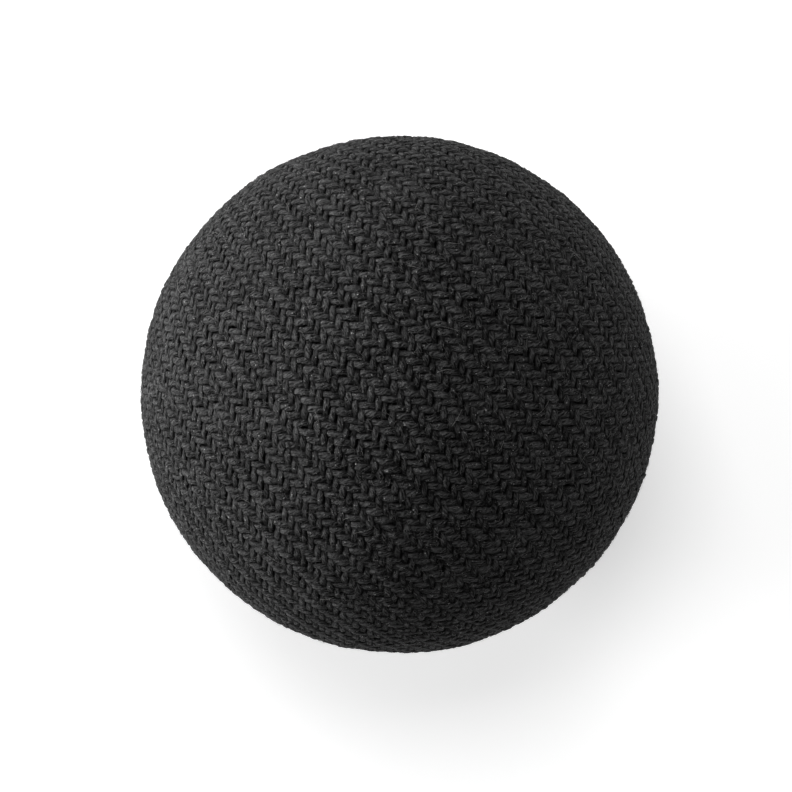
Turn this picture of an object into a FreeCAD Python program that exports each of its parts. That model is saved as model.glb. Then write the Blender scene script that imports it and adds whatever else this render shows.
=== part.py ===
import FreeCAD, Part
import math
import os

# Case opening friction ball: an air-filled rubber bladder in a sewn cover of two twill halves.
# Frame: millimetres, +Z up. The ball stands on its small resting flat at z = 0, on the Z axis.

# Driving dimensions
BALL_RADIUS = 32.5  # half the width of the ball, outside the cloth
POLE_RADIUS = 27.6  # from the ball's centre up to its top: the ball is a little flattened
FLAT_RADIUS = 8.0  # the patch that it rests on
CLOTH = 1.3  # thickness of the twill
RUBBER = 1.8  # thickness of the bladder's wall
FIT = 0.05  # gap left between neighbouring pieces
CAP_RADIUS = 0.2  # a tiny flat on the very top, so that no curved face closes to a point
SEAM_DROP = 3.2  # how far the seam lies below the ball's widest level
NEEDLE_RADIUS = 1.0  # the pump needle's channel

# The seam
GROOVE_HALF_WIDTH = 1.6
GROOVE_DEPTH = 0.75
STITCH_COUNT = 84
STITCH_RADIUS = 0.3
STITCH_SLANT = math.radians(24)
TAPE_THICKNESS = 0.5
TAPE_HALF_WIDTH = 4.5

# The eyelet in the cover's valve hole
EYELET_HOLE_RADIUS = 2.4
EYELET_BARREL_RADIUS = 3.0
EYELET_FLANGE_RADIUS = 4.4
EYELET_METAL = 0.35
EYELET_RECESS = 0.5  # how deep the cloth is dished, so that the eyelet stays off the table
EYELET_ROLL_RADIUS = 3.6
EYELET_ROLL_HEIGHT = 0.15
WASHER_RADIUS = 4.6
WASHER_THICKNESS = 0.3

# The valve
PLUG_BOTTOM = 2.0
PLUG_LENGTH = 8.0
PLUG_RADIUS = 2.2
PLUG_DIMPLE_RADIUS = 1.6
PLUG_DIMPLE_DEPTH = 0.6
SEAT_BOTTOM = 1.9  # clear of the eyelet's rolled end
SEAT_STEM_RADIUS = 3.4
SEAT_FLANGE_RADIUS = 6.5
SEAT_FLANGE_THICKNESS = 1.2
SEAT_BODY_RADIUS = 3.7
SEAT_ROOF = 1.2
SEAT_VENT_RADIUS = 1.3

# Worked out from the driving dimensions
CENTRE_HEIGHT = POLE_RADIUS * math.sqrt(1 - (FLAT_RADIUS / BALL_RADIUS) ** 2)
SEAM_HEIGHT = CENTRE_HEIGHT - SEAM_DROP
BLADDER_OUTSIDE = CLOTH + FIT
BLADDER_INSIDE = BLADDER_OUTSIDE + RUBBER
AXIS = FreeCAD.Vector(0, 0, 1)


def ball_profile(depth):
    """Half the section of what lies inside the surface this far below the cloth's outer face."""
    width = BALL_RADIUS - depth
    height = POLE_RADIUS - depth
    drop = (CENTRE_HEIGHT - depth) / height
    flat = width * math.sqrt(1 - drop * drop)
    middle = FreeCAD.Vector(0, 0, CENTRE_HEIGHT)
    side = FreeCAD.Vector(width, 0, CENTRE_HEIGHT)
    top = FreeCAD.Vector(0, 0, CENTRE_HEIGHT + height)
    ellipse = Part.Ellipse(side, top, middle)
    arc = Part.ArcOfEllipse(ellipse, -math.asin(drop), math.acos(CAP_RADIUS / width)).toShape()
    cap_height = arc.Vertexes[-1].Point.z
    corners = [
        arc.Vertexes[-1].Point,
        FreeCAD.Vector(0, 0, cap_height),
        FreeCAD.Vector(0, 0, depth),
        FreeCAD.Vector(flat, 0, depth),
    ]
    return Part.Face(Part.Wire([arc, Part.makePolygon(corners)]))


def surface_radius(height):
    """The radius of the cloth's outer face at a height above the table."""
    rise = (height - CENTRE_HEIGHT) / POLE_RADIUS
    return BALL_RADIUS * math.sqrt(1 - rise * rise)


def polygon(outline):
    """The flat face inside an outline of (distance from the axis, height) corners."""
    corners = [FreeCAD.Vector(out, 0, height) for out, height in outline]
    return Part.Face(Part.makePolygon(corners + corners[:1]))


def block(inner, outer, low, high):
    """Half the section of an upright tube, or of a rod where inner is 0."""
    return polygon([(inner, low), (outer, low), (outer, high), (inner, high)])


def turned(profile):
    """The solid that a half section makes when it is turned about the ball's axis."""
    faces = profile.Faces
    if len(faces) != 1:
        raise ValueError(f"a half section has {len(faces)} faces instead of one")
    return faces[0].revolve(FreeCAD.Vector(0, 0, 0), AXIS, 360)


def cover_halves():
    """The two cloth halves, which meet edge to edge in the groove that the stitches pull."""
    seam_radius = surface_radius(SEAM_HEIGHT)
    groove_low = SEAM_HEIGHT - GROOVE_HALF_WIDTH
    groove_high = SEAM_HEIGHT + GROOVE_HALF_WIDTH
    groove = block(seam_radius - GROOVE_DEPTH, BALL_RADIUS + 1, groove_low, groove_high)
    cloth = ball_profile(0).cut(ball_profile(CLOTH)).cut(groove)
    upper = cloth.common(block(0, BALL_RADIUS + 1, SEAM_HEIGHT + FIT / 2, 3 * POLE_RADIUS))
    lower = cloth.common(block(0, BALL_RADIUS + 1, -1, SEAM_HEIGHT - FIT / 2))
    hole = block(0, EYELET_BARREL_RADIUS + FIT, -1, CLOTH + 1)
    dish = block(0, EYELET_FLANGE_RADIUS + 2 * FIT, -1, EYELET_RECESS)
    return turned(upper), turned(lower.cut(hole).cut(dish))


def seam_stitch(turn):
    """One slanted stitch, a round-ended bar that bridges the two halves in the groove."""
    reach = GROOVE_HALF_WIDTH - FIT - STITCH_RADIUS
    rise = reach * math.cos(STITCH_SLANT)
    run = reach * math.sin(STITCH_SLANT)
    out = surface_radius(SEAM_HEIGHT) - GROOVE_DEPTH + STITCH_RADIUS + FIT
    start = FreeCAD.Vector(out, -run, SEAM_HEIGHT - rise)
    along = FreeCAD.Vector(0, 2 * run, 2 * rise)
    bar = Part.makeCylinder(STITCH_RADIUS, along.Length, start, along)
    for end in (start, start + along):
        bar = bar.fuse(Part.makeSphere(STITCH_RADIUS, end))
    bar.rotate(FreeCAD.Vector(0, 0, 0), AXIS, turn)
    return bar


def seam_thread():
    """All the stitches, as one group of separate solids."""
    turns = [360 * i / STITCH_COUNT for i in range(STITCH_COUNT)]
    return Part.makeCompound([seam_stitch(turn) for turn in turns])


def tape_profile(extra=0.0):
    """Half the section of the band behind the seam, or with extra of the room that it needs."""
    outside = ball_profile(CLOTH + FIT - extra)
    inside = ball_profile(CLOTH + FIT + TAPE_THICKNESS + extra)
    half = TAPE_HALF_WIDTH + extra
    level = block(0, BALL_RADIUS, SEAM_HEIGHT - half, SEAM_HEIGHT + half)
    return outside.cut(inside).common(level)


def seam_tape():
    """The band behind the seam that both cloth halves are sewn to."""
    return turned(tape_profile())


def bladder():
    """The rubber ball, pressed in round the seam tape and the eyelet's washer, with the valve's hole."""
    rubber = ball_profile(BLADDER_OUTSIDE).cut(ball_profile(BLADDER_INSIDE))
    stem_hole = block(0, SEAT_STEM_RADIUS + FIT, 0, BLADDER_INSIDE + 1)
    washer_top = CLOTH + FIT + WASHER_THICKNESS + EYELET_ROLL_HEIGHT
    washer_room = block(0, WASHER_RADIUS + 2 * FIT, 0, washer_top + FIT)
    return turned(rubber.cut(tape_profile(FIT)).cut(stem_hole).cut(washer_room))


def valve_seat():
    """The boss in the bladder's wall: stem through the wall, flange inside it, closed body with a vent."""
    flange_low = BLADDER_INSIDE + FIT
    flange_high = flange_low + SEAT_FLANGE_THICKNESS
    plug_top = PLUG_BOTTOM + PLUG_LENGTH + FIT
    body_top = plug_top + SEAT_ROOF
    pocket_radius = PLUG_RADIUS + FIT
    outline = [
        (pocket_radius, SEAT_BOTTOM),
        (SEAT_STEM_RADIUS, SEAT_BOTTOM),
        (SEAT_STEM_RADIUS, flange_low),
        (SEAT_FLANGE_RADIUS, flange_low),
        (SEAT_FLANGE_RADIUS, flange_high),
        (SEAT_BODY_RADIUS, flange_high),
        (SEAT_BODY_RADIUS, body_top),
        (SEAT_VENT_RADIUS, body_top),
        (SEAT_VENT_RADIUS, plug_top),
        (pocket_radius, plug_top),
    ]
    return turned(polygon(outline))


def valve_plug():
    """The soft plug, with the needle's channel and a dimple that leads the needle in."""
    top = PLUG_BOTTOM + PLUG_LENGTH
    outline = [
        (PLUG_DIMPLE_RADIUS, PLUG_BOTTOM),
        (PLUG_RADIUS, PLUG_BOTTOM),
        (PLUG_RADIUS, top),
        (NEEDLE_RADIUS, top),
        (NEEDLE_RADIUS, PLUG_BOTTOM + PLUG_DIMPLE_DEPTH),
    ]
    return turned(polygon(outline))


def valve_eyelet():
    """The eyelet: flange in the dished cloth, barrel through it, rolled end over the washer."""
    flange_low = EYELET_RECESS - FIT - EYELET_METAL
    flange_high = EYELET_RECESS - FIT
    roll_low = CLOTH + FIT + WASHER_THICKNESS + FIT / 2
    roll_high = CLOTH + FIT + WASHER_THICKNESS + EYELET_ROLL_HEIGHT
    outline = [
        (EYELET_HOLE_RADIUS, flange_low),
        (EYELET_FLANGE_RADIUS, flange_low),
        (EYELET_FLANGE_RADIUS, flange_high),
        (EYELET_BARREL_RADIUS, flange_high),
        (EYELET_BARREL_RADIUS, roll_low),
        (EYELET_ROLL_RADIUS, roll_low),
        (EYELET_ROLL_RADIUS, roll_high),
        (EYELET_HOLE_RADIUS, roll_high),
    ]
    return turned(polygon(outline))


def eyelet_washer():
    """The washer inside the cover that the eyelet is rolled over."""
    low = CLOTH + FIT / 2
    return turned(block(EYELET_BARREL_RADIUS + FIT, WASHER_RADIUS, low, low + WASHER_THICKNESS))


def main():
    cover_upper, cover_lower = cover_halves()
    pieces = {
        "cover_upper": cover_upper,
        "cover_lower": cover_lower,
        "seam_tape": seam_tape(),
        "seam_thread": seam_thread(),
        "bladder": bladder(),
        "valve_seat": valve_seat(),
        "valve_plug": valve_plug(),
        "valve_eyelet": valve_eyelet(),
        "eyelet_washer": eyelet_washer(),
    }
    os.makedirs("parts", exist_ok=True)
    for node, shape in pieces.items():
        shape.exportStep(f"parts/{node}.step")
        box = shape.BoundBox
        corners = [round(v, 2) for v in (box.XMin, box.YMin, box.ZMin, box.XMax, box.YMax, box.ZMax)]
        print(node, len(shape.Solids), shape.isValid(), round(shape.Volume, 2), corners)


main()
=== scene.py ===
import math

import bpy
import numpy as np
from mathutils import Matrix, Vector


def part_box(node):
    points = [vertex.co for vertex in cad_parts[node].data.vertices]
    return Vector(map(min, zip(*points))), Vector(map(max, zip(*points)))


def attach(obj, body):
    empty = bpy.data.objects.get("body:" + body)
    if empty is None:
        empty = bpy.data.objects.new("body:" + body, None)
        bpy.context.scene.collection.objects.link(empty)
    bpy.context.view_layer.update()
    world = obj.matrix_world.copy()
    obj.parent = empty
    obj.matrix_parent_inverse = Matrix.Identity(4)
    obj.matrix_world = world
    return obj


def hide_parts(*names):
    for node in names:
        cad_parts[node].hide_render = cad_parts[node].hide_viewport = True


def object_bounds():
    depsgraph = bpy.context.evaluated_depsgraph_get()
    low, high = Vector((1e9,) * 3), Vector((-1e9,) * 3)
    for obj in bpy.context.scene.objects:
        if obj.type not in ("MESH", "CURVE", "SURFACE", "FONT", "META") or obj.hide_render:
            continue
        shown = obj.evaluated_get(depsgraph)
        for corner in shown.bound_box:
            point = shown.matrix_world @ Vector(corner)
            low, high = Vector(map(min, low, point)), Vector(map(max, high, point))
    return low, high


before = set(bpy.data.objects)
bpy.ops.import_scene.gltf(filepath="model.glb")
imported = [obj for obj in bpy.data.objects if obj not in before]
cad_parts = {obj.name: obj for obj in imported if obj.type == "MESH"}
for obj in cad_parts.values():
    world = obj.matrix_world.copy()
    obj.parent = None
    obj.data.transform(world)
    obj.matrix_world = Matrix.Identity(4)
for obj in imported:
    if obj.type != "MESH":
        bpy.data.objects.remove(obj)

# A taut cloth cover woven yarn by yarn over the ball, its stitched seam, the valve's eyelet, lint, and the
# stage. The ball's shapes are worked out in millimetres and made in metres. The stage is in metres.

cad_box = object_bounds()
MM = 0.001

# The ball, from the CAD frame
low, high = (np.array(corner) / MM for corner in cad_box)
BALL_RADIUS = (high[0] - low[0]) / 2
FLAT_RADIUS = 8.0  # the patch that it rests on
seam_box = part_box("seam_thread")
SEAM_HEIGHT = (seam_box[0].z + seam_box[1].z) / 2 / MM
# The flat cuts a little off the bottom of the full oval, so the flat's radius gives the oval's half height.
FLAT_LEVEL = math.sqrt(1 - (FLAT_RADIUS / BALL_RADIUS) ** 2)
POLE_RADIUS = high[2] / (1 + FLAT_LEVEL)
CENTRE_HEIGHT = POLE_RADIUS * FLAT_LEVEL
OVAL = np.array([BALL_RADIUS, BALL_RADIUS, POLE_RADIUS])

# The cloth and its yarns
CLOTH = 1.3
WARP_PITCH = 0.878
WEFT_PITCH = 0.928
CLOTH_TURN = math.radians(-3.7)
NET_COUNT = 66  # crossings from the pole along a yarn, enough to pass the seam
MIDDLE_DEPTH = 0.68  # from the cloth's outer face to the middle of its thickness
SHADE_SHEET_DEPTH = 1.0  # the dark sheet under the yarns, whose colour is painted shade for the gaps between them
WARP_WAVE = 0.3  # how far a yarn swings to each side of the middle: the tighter warps lie flatter
WEFT_WAVE = 0.36
YARN_THICKNESS = 0.6
WARP_WIDTH = 0.96  # as a share of the room between its neighbours
WEFT_WIDTH = 0.98
SQUARENESS = 0.72  # of a yarn's section: 1 is an ellipse, and less is fuller at its corners
SAMPLES = 3  # along a yarn, for each crossing
SIDES = 8  # round a yarn
CREVICE = 0.46  # heights over the cloth's middle, between which a yarn's surface comes out into the light, and its colour out of the painted shade that darkens it lower down
CROWN = 0.62

# A yarn's float, the stretch where it lies on top of two others
FLOAT_HEIGHT = 0.88  # as a share of the yarn's wave
FLOAT_BULGE = 0.16  # more of that in the float's middle
FLOAT_STEEPNESS = 2.2  # of the yarn's way down between floats: 1 takes a whole pitch
FLOAT_SWELL = 0.13  # how much wider a yarn is on top of the cloth, and narrower underneath

# How uneven the yarns are, from one crossing to the next
WAVE_RANGE = (0.82, 1.2)
WIDTH_RANGE = (0.84, 1.16)
YARN_RANGE = (0.92, 1.08)  # of whole yarns' widths
SIDESTEP = 0.12  # as a share of the room between its neighbours
SURFACE_ROUGHNESS = 0.03  # of a yarn, from its own fibres

# The places where the cover is drawn in
GROOVE_DEPTH = 1.0  # at the cloth's outer face; its inner face stays where it is
GROOVE_REACH = 1.9
SEAM_GAP = 0.08  # from the seam's level to the yarns' cut ends
FLAT_ROUNDING = 0.3  # how gently the cover bends onto the flat
EYELET_HOLE = 3.1
DISH_RADIUS = 4.5
DISH_RIM = 5.6
DISH_LIFT = 0.55  # of the cloth's outer face over the table
DISH_SQUEEZE = 0.6  # the cloth's thickness in the dish, as a share of its thickness elsewhere
YARN_SQUEEZE = 0.4  # how much of a yarn's thickness is pressed out in the dish

# The stitches
STITCH_COUNT = 84
STITCH_REACH = 1.75
STITCH_SLANT = math.radians(24)
STITCH_SCATTER = 0.07  # how far one may stand from its place, as a share of the way to the next
STITCH_DEPTH = 0.12  # under the ball's outline where it lies on the cloth's edges
STITCH_SAG = 0.22  # more of that in the seam's valley
STITCH_DIVE = 1.1  # how deep its ends go into the cloth
STITCH_DIVE_SHARE = 0.22  # of its reach, at each end
PLY_RADIUS = 0.17
PLY_OFFSET = 0.8  # from the thread's middle, as a share of the ply's radius
PLY_TWIST = 3.4  # radians for each millimetre

# The eyelet's section
EYELET_BORE = 2.4
EYELET_BARREL = 3.0
EYELET_ROLL = 3.6
EYELET_METAL = 0.35
EYELET_ROLL_HEIGHT = 0.13
EYELET_ROUND = 0.28  # of its pressed lips

# The lint: short fibres, and a few longer hairs among them
LINT_COUNT = 6500
HAIR_COUNT = 170
HAIR_LENGTH = (0.8, 2.6)
FIBRE_LENGTH = (0.25, 0.8)
HAIR_TONE = (0.3, 1.0)  # 0 is black and 1 is grey
FIBRE_TONE = (0.0, 0.5)
LINT_THICKNESS = (0.018, 0.032)
LINT_BEND = 0.35  # about how far its end lies off a straight line, as a share of its length
LINT_LIFT = (-0.12, 0.02)  # of its start over the cloth's outer face
LINT_ARCH = (0.0, 0.2)  # more of that along it
LINT_LOW = -0.35  # how far down the ball it reaches: -1 is the bottom

rng = np.random.default_rng(11)

# The cover's slight swells: plane waves that run all ways through the ball
SWELL_COUNT = 14
SWELL_HEIGHT = 0.022
SWELL_RATE = 0.33  # radians for each millimetre
SWELL_WAVES = rng.normal(size=(SWELL_COUNT, 3)) * SWELL_RATE
SWELL_STARTS = rng.uniform(0, 2 * math.pi, SWELL_COUNT)


def smooth(x):
    x = np.clip(x, 0, 1)
    return x * x * (3 - 2 * x)


def unit(vectors):
    return vectors / np.maximum(np.linalg.norm(vectors, axis=-1, keepdims=True), 1e-12)


# --- the cloth's net ---------------------------------------------------------------------------------


def down_the_oval(step, count):
    """Points a step apart down the oval from its pole, as distances from the axis and heights."""
    lowest = 0.85 * math.pi  # well below the seam, where the yarns are cut
    angle = np.linspace(0, lowest, 6000)
    out = BALL_RADIUS * np.sin(angle)
    up = POLE_RADIUS * np.cos(angle)
    run = np.concatenate([[0], np.cumsum(np.hypot(np.diff(out), np.diff(up)))])
    at = np.interp(step * np.arange(count), run, angle)
    return BALL_RADIUS * np.sin(at), POLE_RADIUS * np.cos(at)


def next_crossings(beside, below, corner):
    """The crossings that close the cells of which three corners are known, by Newton's method."""
    rounds = 7
    point = beside + below - corner
    for _ in range(rounds):
        warp = point - beside
        weft = point - below
        miss = np.stack([
            (warp * warp).sum(1) - WARP_PITCH ** 2,
            (weft * weft).sum(1) - WEFT_PITCH ** 2,
            ((point / OVAL) ** 2).sum(1) * BALL_RADIUS - BALL_RADIUS,
        ], 1)
        slope = np.stack([2 * warp, 2 * weft, 2 * point / OVAL ** 2 * BALL_RADIUS], 1)
        sound = np.abs(np.linalg.det(np.nan_to_num(slope))) > 1e-4
        move = np.full_like(point, np.nan)
        move[sound] = np.linalg.solve(slope[sound], miss[sound][..., None])[..., 0]
        point = point - move
    return point


def cloth_net(count):
    """Where the yarns cross on a cloth stretched over the oval from its pole, warps by wefts.

    A woven cloth hardly stretches along its yarns, so every crossing is one pitch from the last along
    both, and the cells lean where the ball curves both ways. One quarter is solved and mirrored.
    """
    net = np.full((count, count, 3), np.nan)
    out, up = down_the_oval(WARP_PITCH, count)
    net[:, 0] = np.stack([out, 0 * out, up], 1)
    out, up = down_the_oval(WEFT_PITCH, count)
    net[0, :] = np.stack([0 * out, out, up], 1)
    for diagonal in range(2, 2 * count - 1):
        i = np.arange(max(1, diagonal - count + 1), min(count, diagonal))
        j = diagonal - i
        net[i, j] = next_crossings(net[i - 1, j], net[i, j - 1], net[i - 1, j - 1])
    right = np.concatenate([net[:, :0:-1] * (1, -1, 1), net], 1)
    full = np.concatenate([right[:0:-1] * (-1, 1, 1), right], 0)
    cos, sin = math.cos(CLOTH_TURN), math.sin(CLOTH_TURN)
    full[..., :2] = full[..., :2] @ np.array([[cos, sin], [-sin, cos]])
    return full


def unevenness(point):
    """The slight hollows and swells of a cover that isn't cut or pulled quite evenly, in millimetres."""
    return (np.sin(point @ SWELL_WAVES.T + SWELL_STARTS) * SWELL_HEIGHT).sum(-1)


def place(point, depth, upward):
    """Points at a depth under the cloth's outer face, which is drawn in at the seam and flat where it rests.

    point is on the oval, from its centre, with the half's own pole up. upward is 1 for the upper half and
    -1 for the lower.
    """
    depth = np.broadcast_to(depth, point.shape[:-1]) + unevenness(point * (1, 1, upward))
    moved = point - unit(point / OVAL ** 2) * depth[..., None]
    moved[..., 2] = upward * moved[..., 2] + CENTRE_HEIGHT
    level = upward * point[..., 2] + CENTRE_HEIGHT
    pull = GROOVE_DEPTH * smooth(1 - np.abs(level - SEAM_HEIGHT) / GROOVE_REACH) * (1 - depth / CLOTH)
    out = np.hypot(moved[..., 0], moved[..., 1])
    moved[..., :2] *= (1 - pull / np.maximum(out, 1))[..., None]
    lift = moved[..., 2] - depth
    flat = depth + (lift + np.sqrt(lift * lift + FLAT_ROUNDING * FLAT_ROUNDING)) / 2
    dished = DISH_LIFT + DISH_SQUEEZE * depth
    share = smooth((DISH_RIM - out) / (DISH_RIM - DISH_RADIUS))
    bottom = flat * (1 - share) + dished * share
    moved[..., 2] = np.where(level < CENTRE_HEIGHT / 2, bottom, moved[..., 2])
    return moved


# --- meshes ------------------------------------------------------------------------------------------


class Mesh:
    """Points, faces and UVs gathered from many small parts, with a tone and a crown value for each point.

    This value is 0 deep between the yarns and 1 out in the light; the yarns' colour is darkened by it, as
    painted shade.
    """

    def __init__(self):
        self.points = []
        self.faces = []
        self.uvs = []
        self.tones = []
        self.painted_shade_factors = []
        self.count = 0

    def add(self, points, faces, uvs, tones, painted_shade_factors):
        self.points.append(points)
        self.faces.extend((face + self.count) for face in faces)
        self.uvs.extend(uvs)
        self.tones.append(tones)
        self.painted_shade_factors.append(painted_shade_factors)
        self.count += len(points)

    def make(self, name, material):
        sizes = np.concatenate([np.full(len(f), f.shape[1]) for f in self.faces])
        corners = np.concatenate([f.reshape(-1) for f in self.faces])
        mesh = bpy.data.meshes.new(name)
        mesh.vertices.add(self.count)
        mesh.vertices.foreach_set("co", (np.concatenate(self.points) * MM).astype(np.float32).ravel())
        mesh.loops.add(len(corners))
        mesh.loops.foreach_set("vertex_index", corners.astype(np.int32))
        mesh.polygons.add(len(sizes))
        starts = np.concatenate([[0], np.cumsum(sizes)[:-1]])
        mesh.polygons.foreach_set("loop_start", starts.astype(np.int32))
        mesh.polygons.foreach_set("use_smooth", np.ones(len(sizes), bool))
        layer = mesh.uv_layers.new(name="yarn")
        uvs = np.concatenate([uv.reshape(-1, 2) for uv in self.uvs])
        layer.uv.foreach_set("vector", uvs.astype(np.float32).ravel())
        for key, values in (("tone", self.tones), ("painted_shade_factor", self.painted_shade_factors)):
            attribute = mesh.attributes.new(key, "FLOAT", "POINT")
            attribute.data.foreach_set("value", np.concatenate(values).astype(np.float32))
        mesh.update(calc_edges=True)
        mesh.validate()
        mesh.materials.append(material)
        made = bpy.data.objects.new(name, mesh)
        bpy.context.scene.collection.objects.link(made)
        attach(made, "root")
        return made


def tube(centre, side, up, width, thickness, run, tone, height, sides, squareness=1.0):
    """One closed tube as points, faces, UVs, tones and heights: what Mesh.add takes.

    Its UVs are millimetres along it and turns round it. The heights only matter on a yarn, where they are
    over the cloth's middle. squareness is as for SQUARENESS.
    """
    angle = (np.arange(sides) + 0.5) / sides * 2 * math.pi
    section_x = np.sign(np.cos(angle)) * np.abs(np.cos(angle)) ** squareness
    section_y = np.sign(np.sin(angle)) * np.abs(np.sin(angle)) ** squareness
    across = side[:, None] * (section_x[None, :, None] * width[:, None, None] / 2)
    rise = up[:, None] * (section_y[None, :, None] * thickness[:, None, None] / 2)
    points = (centre[:, None] + across + rise).reshape(-1, 3)
    count = len(centre)
    ring = np.arange(count - 1)[:, None] * sides
    step = np.arange(sides)[None, :]
    beside = (step + 1) % sides
    quads = np.stack([ring + step, ring + beside, ring + sides + beside, ring + sides + step], -1)
    u = np.repeat(run, sides).reshape(count, sides)
    v = np.broadcast_to(step / sides, (count - 1, sides))
    corners = [(u[:-1], v), (u[:-1], v + 1 / sides), (u[1:], v + 1 / sides), (u[1:], v)]
    uvs = np.stack([np.stack(corner, -1) for corner in corners], 2)
    ends = np.stack([np.arange(sides)[::-1], np.arange(sides) + (count - 1) * sides])
    end_uvs = np.zeros((2, sides, 2))
    faces = [quads.reshape(-1, 4), ends]
    heights = height[:, None] + section_y[None, :] * thickness[:, None] / 2
    return points, faces, [uvs, end_uvs], np.repeat(tone, sides), heights.ravel()


def frames_along(centre, outward):
    """For a path, the directions across it and out of the cloth."""
    along = unit(np.gradient(centre, axis=-2))
    side = unit(np.cross(outward, along))
    return side, np.cross(along, side)


# --- the yarns ---------------------------------------------------------------------------------------


def sampled(table, at):
    """A table's values between its columns."""
    before = np.minimum(np.floor(at).astype(int), table.shape[1] - 2)
    share = at - before
    share = share.reshape((1, -1) + (1,) * (table.ndim - 2))
    return table[:, before] * (1 - share) + table[:, before + 1] * share


def swing(over, at):
    """How high a yarn is along its way, about -1 to 1: floats over two, then under two, each rounded."""
    before = np.minimum(np.floor(at).astype(int), over.shape[1] - 2)
    share = (at - before)[None, :]
    sign = np.where(over, 1.0, -1.0)
    here = sign[:, before]
    after = sign[:, before + 1]
    slope = smooth((share - 0.5) * FLOAT_STEEPNESS + 0.5)
    bulge = np.where(here == after, FLOAT_BULGE * np.sin(share * math.pi), 0) * here
    return FLOAT_HEIGHT * (here + (after - here) * slope) + bulge


def cut_ends(values, keep, first, last):
    """A stretch of samples, with its ends moved to where keep is exactly zero."""
    part = values[first:last].copy()
    if first > 0 and np.isfinite(keep[first - 1]):
        share = keep[first] / (keep[first] - keep[first - 1])
        part[0] = values[first] + (values[first - 1] - values[first]) * share
    if last < len(keep) and np.isfinite(keep[last]):
        share = keep[last - 1] / (keep[last - 1] - keep[last])
        part[-1] = values[last - 1] + (values[last] - values[last - 1]) * share
    return part


def inside_cut(middle, out, upward):
    """Above 0 where a yarn is kept: on its own half's side of the seam, and outside the eyelet's hole."""
    keep = upward * (middle[..., 2] - SEAM_HEIGHT) - SEAM_GAP
    if upward < 0:
        keep = np.where((out < DISH_RIM) & (middle[..., 2] < CENTRE_HEIGHT), out - EYELET_HOLE, keep)
    return keep


def float_tones(yarns, crossings, at):
    """A random tone for each yarn's samples, the same all along a float."""
    tones = rng.uniform(0, 1, (yarns, crossings))
    nearest = np.round(at).astype(int)[None, :]
    number = (nearest + np.arange(yarns)[:, None]) // 2 % crossings
    return np.take_along_axis(tones, number, 1)


def yarn_set(net, is_warp, upward):
    """All the yarns of one direction on one half: each yarn's rings, as arrays of yarns by samples."""
    grid = net if is_warp else net.transpose(1, 0, 2)
    yarns, crossings = grid.shape[:2]
    index = np.arange(yarns)[:, None] + np.arange(crossings)[None, :]
    over = (index % 4 < 2) == is_warp
    at = np.arange((crossings - 1) * SAMPLES + 1) / SAMPLES
    point = sampled(grid, at)
    point = point / np.sqrt(((point / OVAL) ** 2).sum(-1, keepdims=True))
    uneven_wave = sampled(rng.uniform(*WAVE_RANGE, (yarns, crossings)), at)
    broad = sampled(rng.uniform(*WIDTH_RANGE, (yarns, crossings)), at) * rng.uniform(*YARN_RANGE, (yarns, 1))
    sidestep = sampled(rng.uniform(-SIDESTEP, SIDESTEP, (yarns, crossings)), at)
    wave = swing(over, at) * uneven_wave
    height = (WARP_WAVE if is_warp else WEFT_WAVE) * wave
    middle = place(point, MIDDLE_DEPTH, upward)
    centre = place(point, MIDDLE_DEPTH - height, upward)
    probe = 0.2
    outward = unit(place(point, MIDDLE_DEPTH - probe, upward) - place(point, MIDDLE_DEPTH + probe, upward))
    side, _ = frames_along(middle, outward)
    room = np.abs((np.gradient(middle, axis=0) * side).sum(-1))
    centre = centre + side * (sidestep * room)[..., None]
    side, up = frames_along(centre, outward)
    width = room * (WARP_WIDTH if is_warp else WEFT_WIDTH) * broad * (1 + FLOAT_SWELL * wave)
    out = np.hypot(middle[..., 0], middle[..., 1])
    squeeze = 1 - YARN_SQUEEZE * smooth((DISH_RIM - out) / (DISH_RIM - DISH_RADIUS)) * (upward < 0)
    thickness = YARN_THICKNESS * (0.95 + 0.1 * broad) * squeeze  # a broad yarn is a little thicker too
    keep = inside_cut(middle, out, upward)
    tone = float_tones(yarns, crossings, at)
    run = np.broadcast_to(at * (WEFT_PITCH if is_warp else WARP_PITCH), keep.shape)
    return centre, side, up, width, thickness, run, tone, height, keep


def build_yarns(name, net, is_warp, upward, material):
    """The yarns of one direction on one half, as three pieces side by side."""
    *shapes, keep = yarn_set(net, is_warp, upward)
    made = []
    for part, rows in zip("abc", np.array_split(np.flatnonzero((keep > 0).any(1)), 3)):
        mesh = Mesh()
        for row in rows:
            kept = np.nan_to_num(keep[row], nan=-1.0) > 0
            edges = np.flatnonzero(np.diff(np.concatenate([[0], kept.astype(int), [0]])))
            shift = rng.uniform(0, 40, 2)  # of the yarn's UVs, so that no two yarns have the same streaks
            for first, last in zip(edges[::2], edges[1::2]):
                if last - first < 3:
                    continue
                stretch = [cut_ends(shape[row], keep[row], first, last) for shape in shapes]
                points, faces, uvs, tones, heights = tube(*stretch, SIDES, SQUARENESS)
                points = points + rng.normal(0, SURFACE_ROUGHNESS, points.shape)
                uvs[0] = uvs[0] + shift
                # the painted shade factor: how far the surface is out in the light, 0 deep between the yarns
                mesh.add(points, faces, uvs, tones, smooth((heights - CREVICE) / (CROWN - CREVICE)))
        made.append(mesh.make(f"{name}_{part}", material))
    return made


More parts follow.
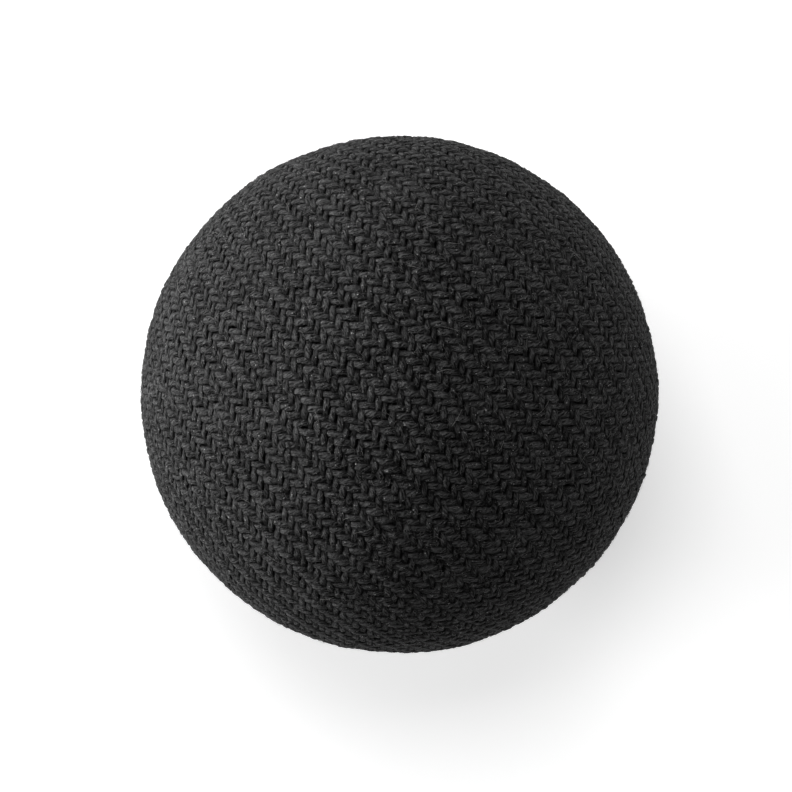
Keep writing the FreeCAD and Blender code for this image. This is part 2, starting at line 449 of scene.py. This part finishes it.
def build_shade_sheet(name, upward, material):
    """One dark sheet of painted shade under the yarns, from the pole or the valve hole to the seam."""
    rings = 60
    segments = 192
    seam_rise = upward * (SEAM_HEIGHT - CENTRE_HEIGHT)
    first = 0.0 if upward > 0 else math.asin(EYELET_HOLE / BALL_RADIUS)
    last = math.acos(seam_rise / POLE_RADIUS)
    fall = np.linspace(first, last, rings)[:, None]
    turn = np.arange(segments)[None, :] / segments * 2 * math.pi
    point = np.stack([
        BALL_RADIUS * np.sin(fall) * np.cos(turn),
        BALL_RADIUS * np.sin(fall) * np.sin(turn),
        POLE_RADIUS * np.cos(fall) + 0 * turn,
    ], -1)
    placed = place(point, SHADE_SHEET_DEPTH, upward)
    start = 1 if upward > 0 else 0
    points = placed[start:].reshape(-1, 3)
    ring = np.arange(rings - start - 1)[:, None] * segments
    step = np.arange(segments)[None, :]
    beside = (step + 1) % segments
    quads = np.stack([ring + step, ring + segments + step, ring + segments + beside, ring + beside], -1)
    quads = quads.reshape(-1, 4)
    if upward < 0:
        quads = quads[:, ::-1]
    faces = [quads]
    if upward > 0:
        points = np.concatenate([points, placed[:1, 0]])
        fan = np.stack([np.full(segments, len(points) - 1), np.arange(segments), beside[0]], 1)
        faces.append(fan)
    uvs = [points[face][..., :2] for face in faces]
    mesh = Mesh()
    mesh.add(points, faces, uvs, np.full(len(points), 0.5), np.zeros(len(points)))
    return mesh.make(name, material)


def flat_cut(net, upward):
    """The flat size of a half's cloth: its width and length, and its area, from the cells that it takes."""
    middle = place(net, MIDDLE_DEPTH, upward)
    kept = upward * (middle[..., 2] - SEAM_HEIGHT) > 0
    warps = kept.any(1).sum()
    wefts = kept.any(0).sum()
    area = kept.sum() * WARP_PITCH * WEFT_PITCH
    return (warps * WARP_PITCH * MM, wefts * WEFT_PITCH * MM), area * MM * MM


# --- the seam's stitches -----------------------------------------------------------------------------


def stitch_path(turn, steps):
    """One stitch: out of one cloth edge, over the valley of the seam and into the other edge."""
    share = np.linspace(-1, 1, steps)
    level = SEAM_HEIGHT + STITCH_REACH * share - CENTRE_HEIGHT
    angle = turn + STITCH_REACH * math.tan(STITCH_SLANT) / BALL_RADIUS * share
    dive = smooth((np.abs(share) - (1 - STITCH_DIVE_SHARE)) / STITCH_DIVE_SHARE)
    depth = STITCH_DEPTH + STITCH_SAG * (1 - share ** 2) + STITCH_DIVE * dive
    out = BALL_RADIUS * np.sqrt(1 - (level / POLE_RADIUS) ** 2) - depth
    return np.stack([out * np.cos(angle), out * np.sin(angle), level + CENTRE_HEIGHT], 1)


def build_stitches(material):
    """Two-ply twisted thread, stitch by stitch right round the ball."""
    mesh = Mesh()
    steps = 22
    ply_sides = 6
    for number in range(STITCH_COUNT):
        turn = 2 * math.pi * (number + rng.uniform(-STITCH_SCATTER, STITCH_SCATTER)) / STITCH_COUNT
        path = stitch_path(turn, steps)
        outward = unit(path * (1, 1, 0))
        side, up = frames_along(path, outward)
        run = np.linspace(0, 2 * STITCH_REACH, steps)
        twist = run * PLY_TWIST + rng.uniform(0, 6)
        for ply in (0, math.pi):
            angle = twist + ply
            aside = side * np.cos(angle)[:, None] + up * np.sin(angle)[:, None]
            centre = path + aside * PLY_RADIUS * PLY_OFFSET
            size = np.full(steps, 2 * PLY_RADIUS)
            tone = np.full(steps, rng.uniform())
            mesh.add(*tube(centre, side, up, size, size, run, tone, size, ply_sides))
    made = mesh.make("seam_thread_stitches", material)
    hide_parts("seam_thread")


# --- the eyelet --------------------------------------------------------------------------------------


def rounded(corners):
    """A closed outline with each corner (x, y, rounding) replaced by a curve that starts that far from it."""
    points = np.array([corner[:2] for corner in corners])
    share = np.linspace(0, 1, 7)[:, None]
    parts = []
    for i, corner in enumerate(corners):
        here = points[i]
        start = here + unit(points[i - 1] - here) * corner[2]
        end = here + unit(points[(i + 1) % len(points)] - here) * corner[2]
        parts.append(start * (1 - share) ** 2 + here * 2 * share * (1 - share) + end * share ** 2)
    return np.concatenate(parts)


def build_eyelet(material):
    """The pressed eyelet: a flange with rounded lips, the barrel, and the end rolled over its washer."""
    eyelet_low, eyelet_high = (np.array(corner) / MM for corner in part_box("valve_eyelet"))
    flange = eyelet_high[0]
    bottom = eyelet_low[2]
    top = eyelet_high[2]
    outline = rounded([
        (EYELET_BORE, bottom, EYELET_ROUND),
        (flange, bottom, EYELET_ROUND),
        (flange, bottom + EYELET_METAL, 0.05),
        (EYELET_BARREL, bottom + EYELET_METAL, 0.05),
        (EYELET_BARREL, top - EYELET_ROLL_HEIGHT, 0.02),
        (EYELET_ROLL, top - EYELET_ROLL_HEIGHT, 0.05),
        (EYELET_ROLL, top, 0.06),
        (EYELET_BORE, top, 0.15),
    ])
    segments = 96
    count = len(outline)
    turn = np.arange(segments)[:, None] / segments * 2 * math.pi
    out, up = outline.T
    points = np.stack([out * np.cos(turn), out * np.sin(turn), up + 0 * turn], -1).reshape(-1, 3)
    ring = np.arange(segments)[:, None] * count
    beside = (ring + count) % (segments * count)
    step = np.arange(count)[None, :]
    after = (step + 1) % count
    quads = np.stack([beside + step, beside + after, ring + after, ring + step], -1).reshape(-1, 4)
    mesh = Mesh()
    mesh.add(points, [quads], [points[quads][..., :2]], np.full(len(points), 0.5), np.ones(len(points)))
    made = mesh.make("valve_eyelet_pressed", material)
    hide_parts("valve_eyelet")


# --- lint --------------------------------------------------------------------------------------------


def build_lint(material):
    """Stray fibres on the cloth: many short ends of its own yarns, and a few longer hairs."""
    mesh = Mesh()
    for number in range(LINT_COUNT):
        pole = unit(rng.normal(size=3))
        if pole[2] < LINT_LOW:
            pole[2] *= -1
        start = pole / math.sqrt(((pole / OVAL) ** 2).sum())
        heading = unit(np.cross(pole, rng.normal(size=3)))
        aside = unit(np.cross(pole, heading))
        is_hair = number < HAIR_COUNT
        steps, sides = (9, 4) if is_hair else (4, 3)
        length = rng.uniform(*(HAIR_LENGTH if is_hair else FIBRE_LENGTH))
        bend = rng.normal(0, LINT_BEND)
        share = np.linspace(0, 1, steps)
        ahead = share * length
        curl = bend * share ** 2 * length
        point = start + heading * ahead[:, None] + aside * curl[:, None]
        point = point / np.sqrt(((point / OVAL) ** 2).sum(-1, keepdims=True))
        lift = rng.uniform(*LINT_LIFT)
        arch = rng.uniform(*LINT_ARCH) * np.sin(share * rng.uniform(1, 3)) ** 2
        centre = place(point, -lift - arch, 1)
        side, up = frames_along(centre, unit(point / OVAL ** 2))
        size = np.full(steps, rng.uniform(*LINT_THICKNESS))
        tone = np.full(steps, rng.uniform(*(HAIR_TONE if is_hair else FIBRE_TONE)))
        mesh.add(*tube(centre, side, up, size, size, ahead, tone, size, sides))
    mesh.make("cover_lint", material)


# --- materials ---------------------------------------------------------------------------------------


class Shader:
    """A material's nodes, made and joined in short lines."""

    def __init__(self, name):
        self.material = bpy.data.materials.new(name)
        self.material.use_nodes = True
        self.tree = self.material.node_tree
        self.surface = self.tree.nodes["Principled BSDF"]

    def node(self, kind, inputs=(), **settings):
        made = self.tree.nodes.new(kind)
        for key, value in settings.items():
            setattr(made, key, value)
        for key, value in dict(inputs).items():
            self.join(value, made.inputs[key])
        return made

    def join(self, value, socket):
        if isinstance(value, bpy.types.NodeSocket):
            self.tree.links.new(value, socket)
        else:
            socket.default_value = value

    def maths(self, operation, *values):
        made = self.node("ShaderNodeMath", operation=operation)
        for value, socket in zip(values, made.inputs):
            self.join(value, socket)
        return made.outputs[0]

    def spread(self, value, low_value, high_value):
        """value from 0 to 1, spread from low_value to high_value."""
        return self.maths("MULTIPLY_ADD", value, high_value - low_value, low_value)

    def shade(self, value, dark, light):
        """A colour between two, by a value from 0 to 1."""
        made = self.node("ShaderNodeMix", data_type="RGBA")
        self.join(value, made.inputs["Factor"])
        self.join((*dark, 1), made.inputs["A"])
        self.join((*light, 1), made.inputs["B"])
        return made.outputs["Result"]

    def scaled(self, colour, value):
        made = self.node("ShaderNodeVectorMath", {0: colour}, operation="SCALE")
        self.join(value, made.inputs["Scale"])
        return made.outputs[0]

    def mixed(self, value, colour, other):
        """A colour from a socket with another over it, by a value from 0 to 1."""
        made = self.node("ShaderNodeMix", data_type="RGBA")
        self.join(value, made.inputs["Factor"])
        self.join(colour, made.inputs["A"])
        self.join((*other, 1), made.inputs["B"])
        return made.outputs["Result"]

    def noise(self, vector, scale, detail):
        made = self.node("ShaderNodeTexNoise", {"Vector": vector, "Scale": scale, "Detail": detail})
        return made.outputs["Fac"]

    def own(self, attribute):
        """A value that Mesh stored on each point."""
        return self.node("ShaderNodeAttribute", attribute_name=attribute).outputs["Fac"]

    def position(self):
        return self.node("ShaderNodeTexCoord").outputs["Object"]

    def bump(self, height, distance):
        made = self.node("ShaderNodeBump", {"Height": height, "Distance": distance})
        self.join(made.outputs[0], self.surface.inputs["Normal"])

    def set(self, **values):
        for key, value in values.items():
            self.join(value, self.surface.inputs[key.replace("_", " ")])


def filaments(shader, across, along, twist):
    """Fine streaks that run along a yarn and turn slowly round it, from its UVs.

    across and along say how many there are in a turn round it and in a millimetre, and twist is in turns
    for each millimetre.
    """
    uv = shader.node("ShaderNodeUVMap", uv_map="yarn").outputs[0]
    split = shader.node("ShaderNodeSeparateXYZ", {0: uv})
    run = split.outputs[0]
    turned = shader.maths("MULTIPLY_ADD", run, twist, split.outputs[1])
    position = shader.node("ShaderNodeCombineXYZ", {
        0: shader.maths("MULTIPLY", run, along),
        1: shader.maths("MULTIPLY", turned, across),
    }).outputs[0]
    return shader.noise(position, 1.0, 3.0)


def twill_material():
    """Black spun yarn: streaks of filaments, floats of slightly different black, and painted shade between
    them.
    """
    shader = Shader("black_twill_yarn")
    streaks = filaments(shader, across=17.0, along=1.9, twist=0.14)
    patches = shader.noise(shader.position(), 160.0, 2.0)
    light = shader.spread(streaks, -1.3, 2.15)
    light = shader.maths("ADD", light, shader.spread(shader.own("tone"), -0.12, 0.12))
    light = shader.maths("ADD", light, shader.spread(patches, -0.1, 0.1))
    light = shader.node("ShaderNodeClamp", {0: light}).outputs[0]
    cloth = shader.shade(light, (0.002, 0.002, 0.002), (0.069, 0.069, 0.0695))
    fuzz = shader.noise(shader.position(), 4200.0, 4.0)
    lowest, highest = 0.64, 0.74  # of the fuzz, between which a painted glint comes up: a bright speck where a fibre would catch the light
    painted_glints = shader.node("ShaderNodeMapRange", {0: fuzz, 1: lowest, 2: highest}).outputs[0]
    # painted glints: light grey specks in the colour, where fibres would catch the light
    fibres = shader.mixed(painted_glints, cloth, (0.3, 0.3, 0.3))
    # painted shade: the colour is darkened to a hundredth of itself deep between the yarns, by the painted
    # shade factor
    shader.set(Base_Color=shader.scaled(fibres, shader.spread(shader.own("painted_shade_factor"), 0.01, 1.0)))
    shader.set(Roughness=shader.spread(streaks, 0.8, 0.55), Specular_IOR_Level=0.08)
    shader.bump(shader.maths("ADD", streaks, fuzz), 0.2 * MM)
    return shader.material


def shade_sheet_material():
    """Painted shade for the gaps between the yarns: a black darker than theirs, on the sheet under them."""
    shader = Shader("cloth_shade_sheet")
    fibres = shader.noise(shader.position(), 2500.0, 3.0)
    # painted shade: near-black, darker than the yarns' own black, for what shows deep between them
    shader.set(Base_Color=shader.shade(fibres, (0.002, 0.002, 0.002), (0.006, 0.006, 0.006)))
    shader.set(Roughness=0.95, Specular_IOR_Level=0.1)
    shader.bump(fibres, 0.1 * MM)
    return shader.material


def thread_material():
    shader = Shader("black_sewing_thread")
    streaks = filaments(shader, across=6.0, along=2.5, twist=0.3)
    shader.set(Base_Color=shader.shade(streaks, (0.012, 0.012, 0.013), (0.06, 0.06, 0.062)))
    shader.set(Roughness=shader.spread(streaks, 0.6, 0.4), Specular_IOR_Level=0.45, Sheen_Weight=0.1)
    shader.bump(streaks, 0.05 * MM)
    return shader.material


def lint_material():
    shader = Shader("grey_lint")
    shader.set(Base_Color=shader.shade(shader.own("tone"), (0.01, 0.01, 0.01), (0.22, 0.215, 0.21)))
    shader.set(Roughness=0.7)
    return shader.material


def grained_material(name, dark, light, grains, roughness, bump, metallic=0.0):
    """Moulded rubber, woven tape or metal: a mottled colour, and a fine grain with so many grains a metre.

    roughness gives its values where the grain is low and where it is high. bump is the grain's height in
    millimetres.
    """
    shader = Shader(name)
    position = shader.position()
    mottle = shader.noise(position, grains * 0.2, 3.0)
    grain = shader.noise(position, grains, 4.0)
    shader.set(Base_Color=shader.shade(mottle, dark, light), Metallic=metallic)
    shader.set(Roughness=shader.spread(grain, *roughness))
    shader.bump(grain, bump * MM)
    return shader.material


def brass_material():
    return grained_material(
        "pressed_brass", (0.5, 0.35, 0.13), (0.72, 0.55, 0.26),
        grains=3000, roughness=(0.22, 0.42), bump=0.01, metallic=1.0,
    )


def dress_cad_nodes(brass):
    """Better materials on the pieces that keep their CAD shape."""
    dressed = {
        "bladder": grained_material(
            "latex_rubber", (0.36, 0.24, 0.13), (0.56, 0.41, 0.25),
            grains=1500, roughness=(0.55, 0.75), bump=0.03,
        ),
        "valve_seat": grained_material(
            "valve_rubber", (0.03, 0.03, 0.031), (0.07, 0.07, 0.072),
            grains=2500, roughness=(0.45, 0.65), bump=0.02,
        ),
        "valve_plug": grained_material(
            "plug_rubber", (0.25, 0.03, 0.025), (0.4, 0.06, 0.045),
            grains=2500, roughness=(0.5, 0.7), bump=0.02,
        ),
        "seam_tape": grained_material(
            "cotton_tape", (0.42, 0.37, 0.3), (0.62, 0.57, 0.48),
            grains=3500, roughness=(0.8, 0.95), bump=0.05,
        ),
        "eyelet_washer": brass,
    }
    for node, material in dressed.items():
        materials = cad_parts[node].data.materials
        materials.clear()
        materials.append(material)


# --- the stage ---------------------------------------------------------------------------------------


def build_floor():
    """White paper that gives off some light of its own, so that it comes out as white as an overlit table."""
    reach = 3.0
    corners = [(-reach, -reach, 0), (reach, -reach, 0), (reach, reach, 0), (-reach, reach, 0)]
    mesh = bpy.data.meshes.new("floor")
    mesh.from_pydata(corners, [], [(0, 1, 2, 3)])
    floor = bpy.data.objects.new("floor", mesh)
    bpy.context.scene.collection.objects.link(floor)
    shader = Shader("white_paper")
    shader.set(Base_Color=(0.82, 0.82, 0.82, 1), Roughness=0.9, Specular_IOR_Level=0.1)
    shader.set(Emission_Color=(1, 1, 1, 1), Emission_Strength=0.5)
    mesh.materials.append(shader.material)


def build_backdrop():
    """A white wall round the floor's lit part. Only the camera sees it, so it lights nothing."""
    radius = 0.95
    height = 3.0
    segments = 96
    turns = [2 * math.pi * i / segments for i in range(segments)]
    points = [(radius * math.cos(turn), radius * math.sin(turn), z) for z in (0, height) for turn in turns]
    sides = [(i, (i + 1) % segments) for i in range(segments)]
    faces = [(first, second, second + segments, first + segments) for first, second in sides]
    mesh = bpy.data.meshes.new("backdrop")
    mesh.from_pydata(points, [], faces)
    wall = bpy.data.objects.new("backdrop", mesh)
    bpy.context.scene.collection.objects.link(wall)
    shader = Shader("white_wall")
    shader.set(Base_Color=(0, 0, 0, 1), Specular_IOR_Level=0.0)
    shader.set(Emission_Color=(1, 1, 1, 1), Emission_Strength=1.0)
    mesh.materials.append(shader.material)
    wall.visible_diffuse = False
    wall.visible_glossy = False
    wall.visible_transmission = False
    wall.visible_shadow = False


def build_light(name, position, size, power):
    """A soft square lamp that points at the ball, in metres and watts."""
    target = Vector((0, 0, 0.02))
    data = bpy.data.lights.new(name, "AREA")
    data.size = size
    data.energy = power
    lamp = bpy.data.objects.new(name, data)
    lamp.location = position
    lamp.rotation_euler = (target - Vector(position)).to_track_quat("-Z", "Y").to_euler()
    bpy.context.scene.collection.objects.link(lamp)


def build_lights():
    """A low window on the left, a weaker one towards the back, a lamp high at the back, and a dim room."""
    build_light("window_left", (-1.35, 0.22, 0.09), size=0.6, power=52.0)
    build_light("window_corner", (-0.95, 0.95, 0.4), size=0.7, power=4.0)
    build_light("lamp_above", (-0.15, 0.8, 1.2), size=0.8, power=12.2)
    world = bpy.data.worlds.new("room")
    world.use_nodes = True
    background = world.node_tree.nodes["Background"]
    background.inputs["Color"].default_value = (1, 1, 1, 1)
    background.inputs["Strength"].default_value = 0.14
    bpy.context.scene.world = world


def build_camera():
    """Looking down from a little to the back, so that the top of the ball lies just below its middle."""
    distance = 400.0
    lean = math.radians(5.2)
    outline_share = 0.655  # of the picture's width
    aim_off = np.array([-0.41, -0.14, 0.0])  # from the ball's centre
    sensor = 36.0
    aim = np.array([0, 0, CENTRE_HEIGHT]) + aim_off
    eye = aim + distance * np.array([0, math.sin(lean), math.cos(lean)])
    data = bpy.data.cameras.new("camera")
    data.sensor_width = sensor
    data.lens = sensor * outline_share / 2 * math.sqrt(distance ** 2 - BALL_RADIUS ** 2) / BALL_RADIUS
    data.clip_start = 0.01
    data.clip_end = 10.0
    camera = bpy.data.objects.new("camera", data)
    camera.location = Vector(eye * MM)
    camera.rotation_euler = (-lean, 0, 0)
    bpy.context.scene.collection.objects.link(camera)
    bpy.context.scene.camera = camera


def build_cover():
    """Both halves of the cover: a dark sheet of painted shade with warps and wefts woven through each other
    on it.
    """
    net = cloth_net(NET_COUNT)
    yarn = twill_material()
    shade_sheet = shade_sheet_material()
    for half, upward in (("upper", 1), ("lower", -1)):
        sheet = build_shade_sheet(f"cover_{half}_ground", upward, shade_sheet)
        yarns = build_yarns(f"cover_{half}_warp", net, True, upward, yarn)
        yarns += build_yarns(f"cover_{half}_weft", net, False, upward, yarn)
        for piece in [sheet, *yarns]:
            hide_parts(f"cover_{half}")
        flat, area = flat_cut(net, upward)


build_cover()
build_stitches(thread_material())
build_lint(lint_material())
pressed_brass = brass_material()
build_eyelet(pressed_brass)
dress_cad_nodes(pressed_brass)
build_floor()
build_backdrop()
build_lights()
build_camera()
bpy.context.scene.view_settings.view_transform = "Standard"
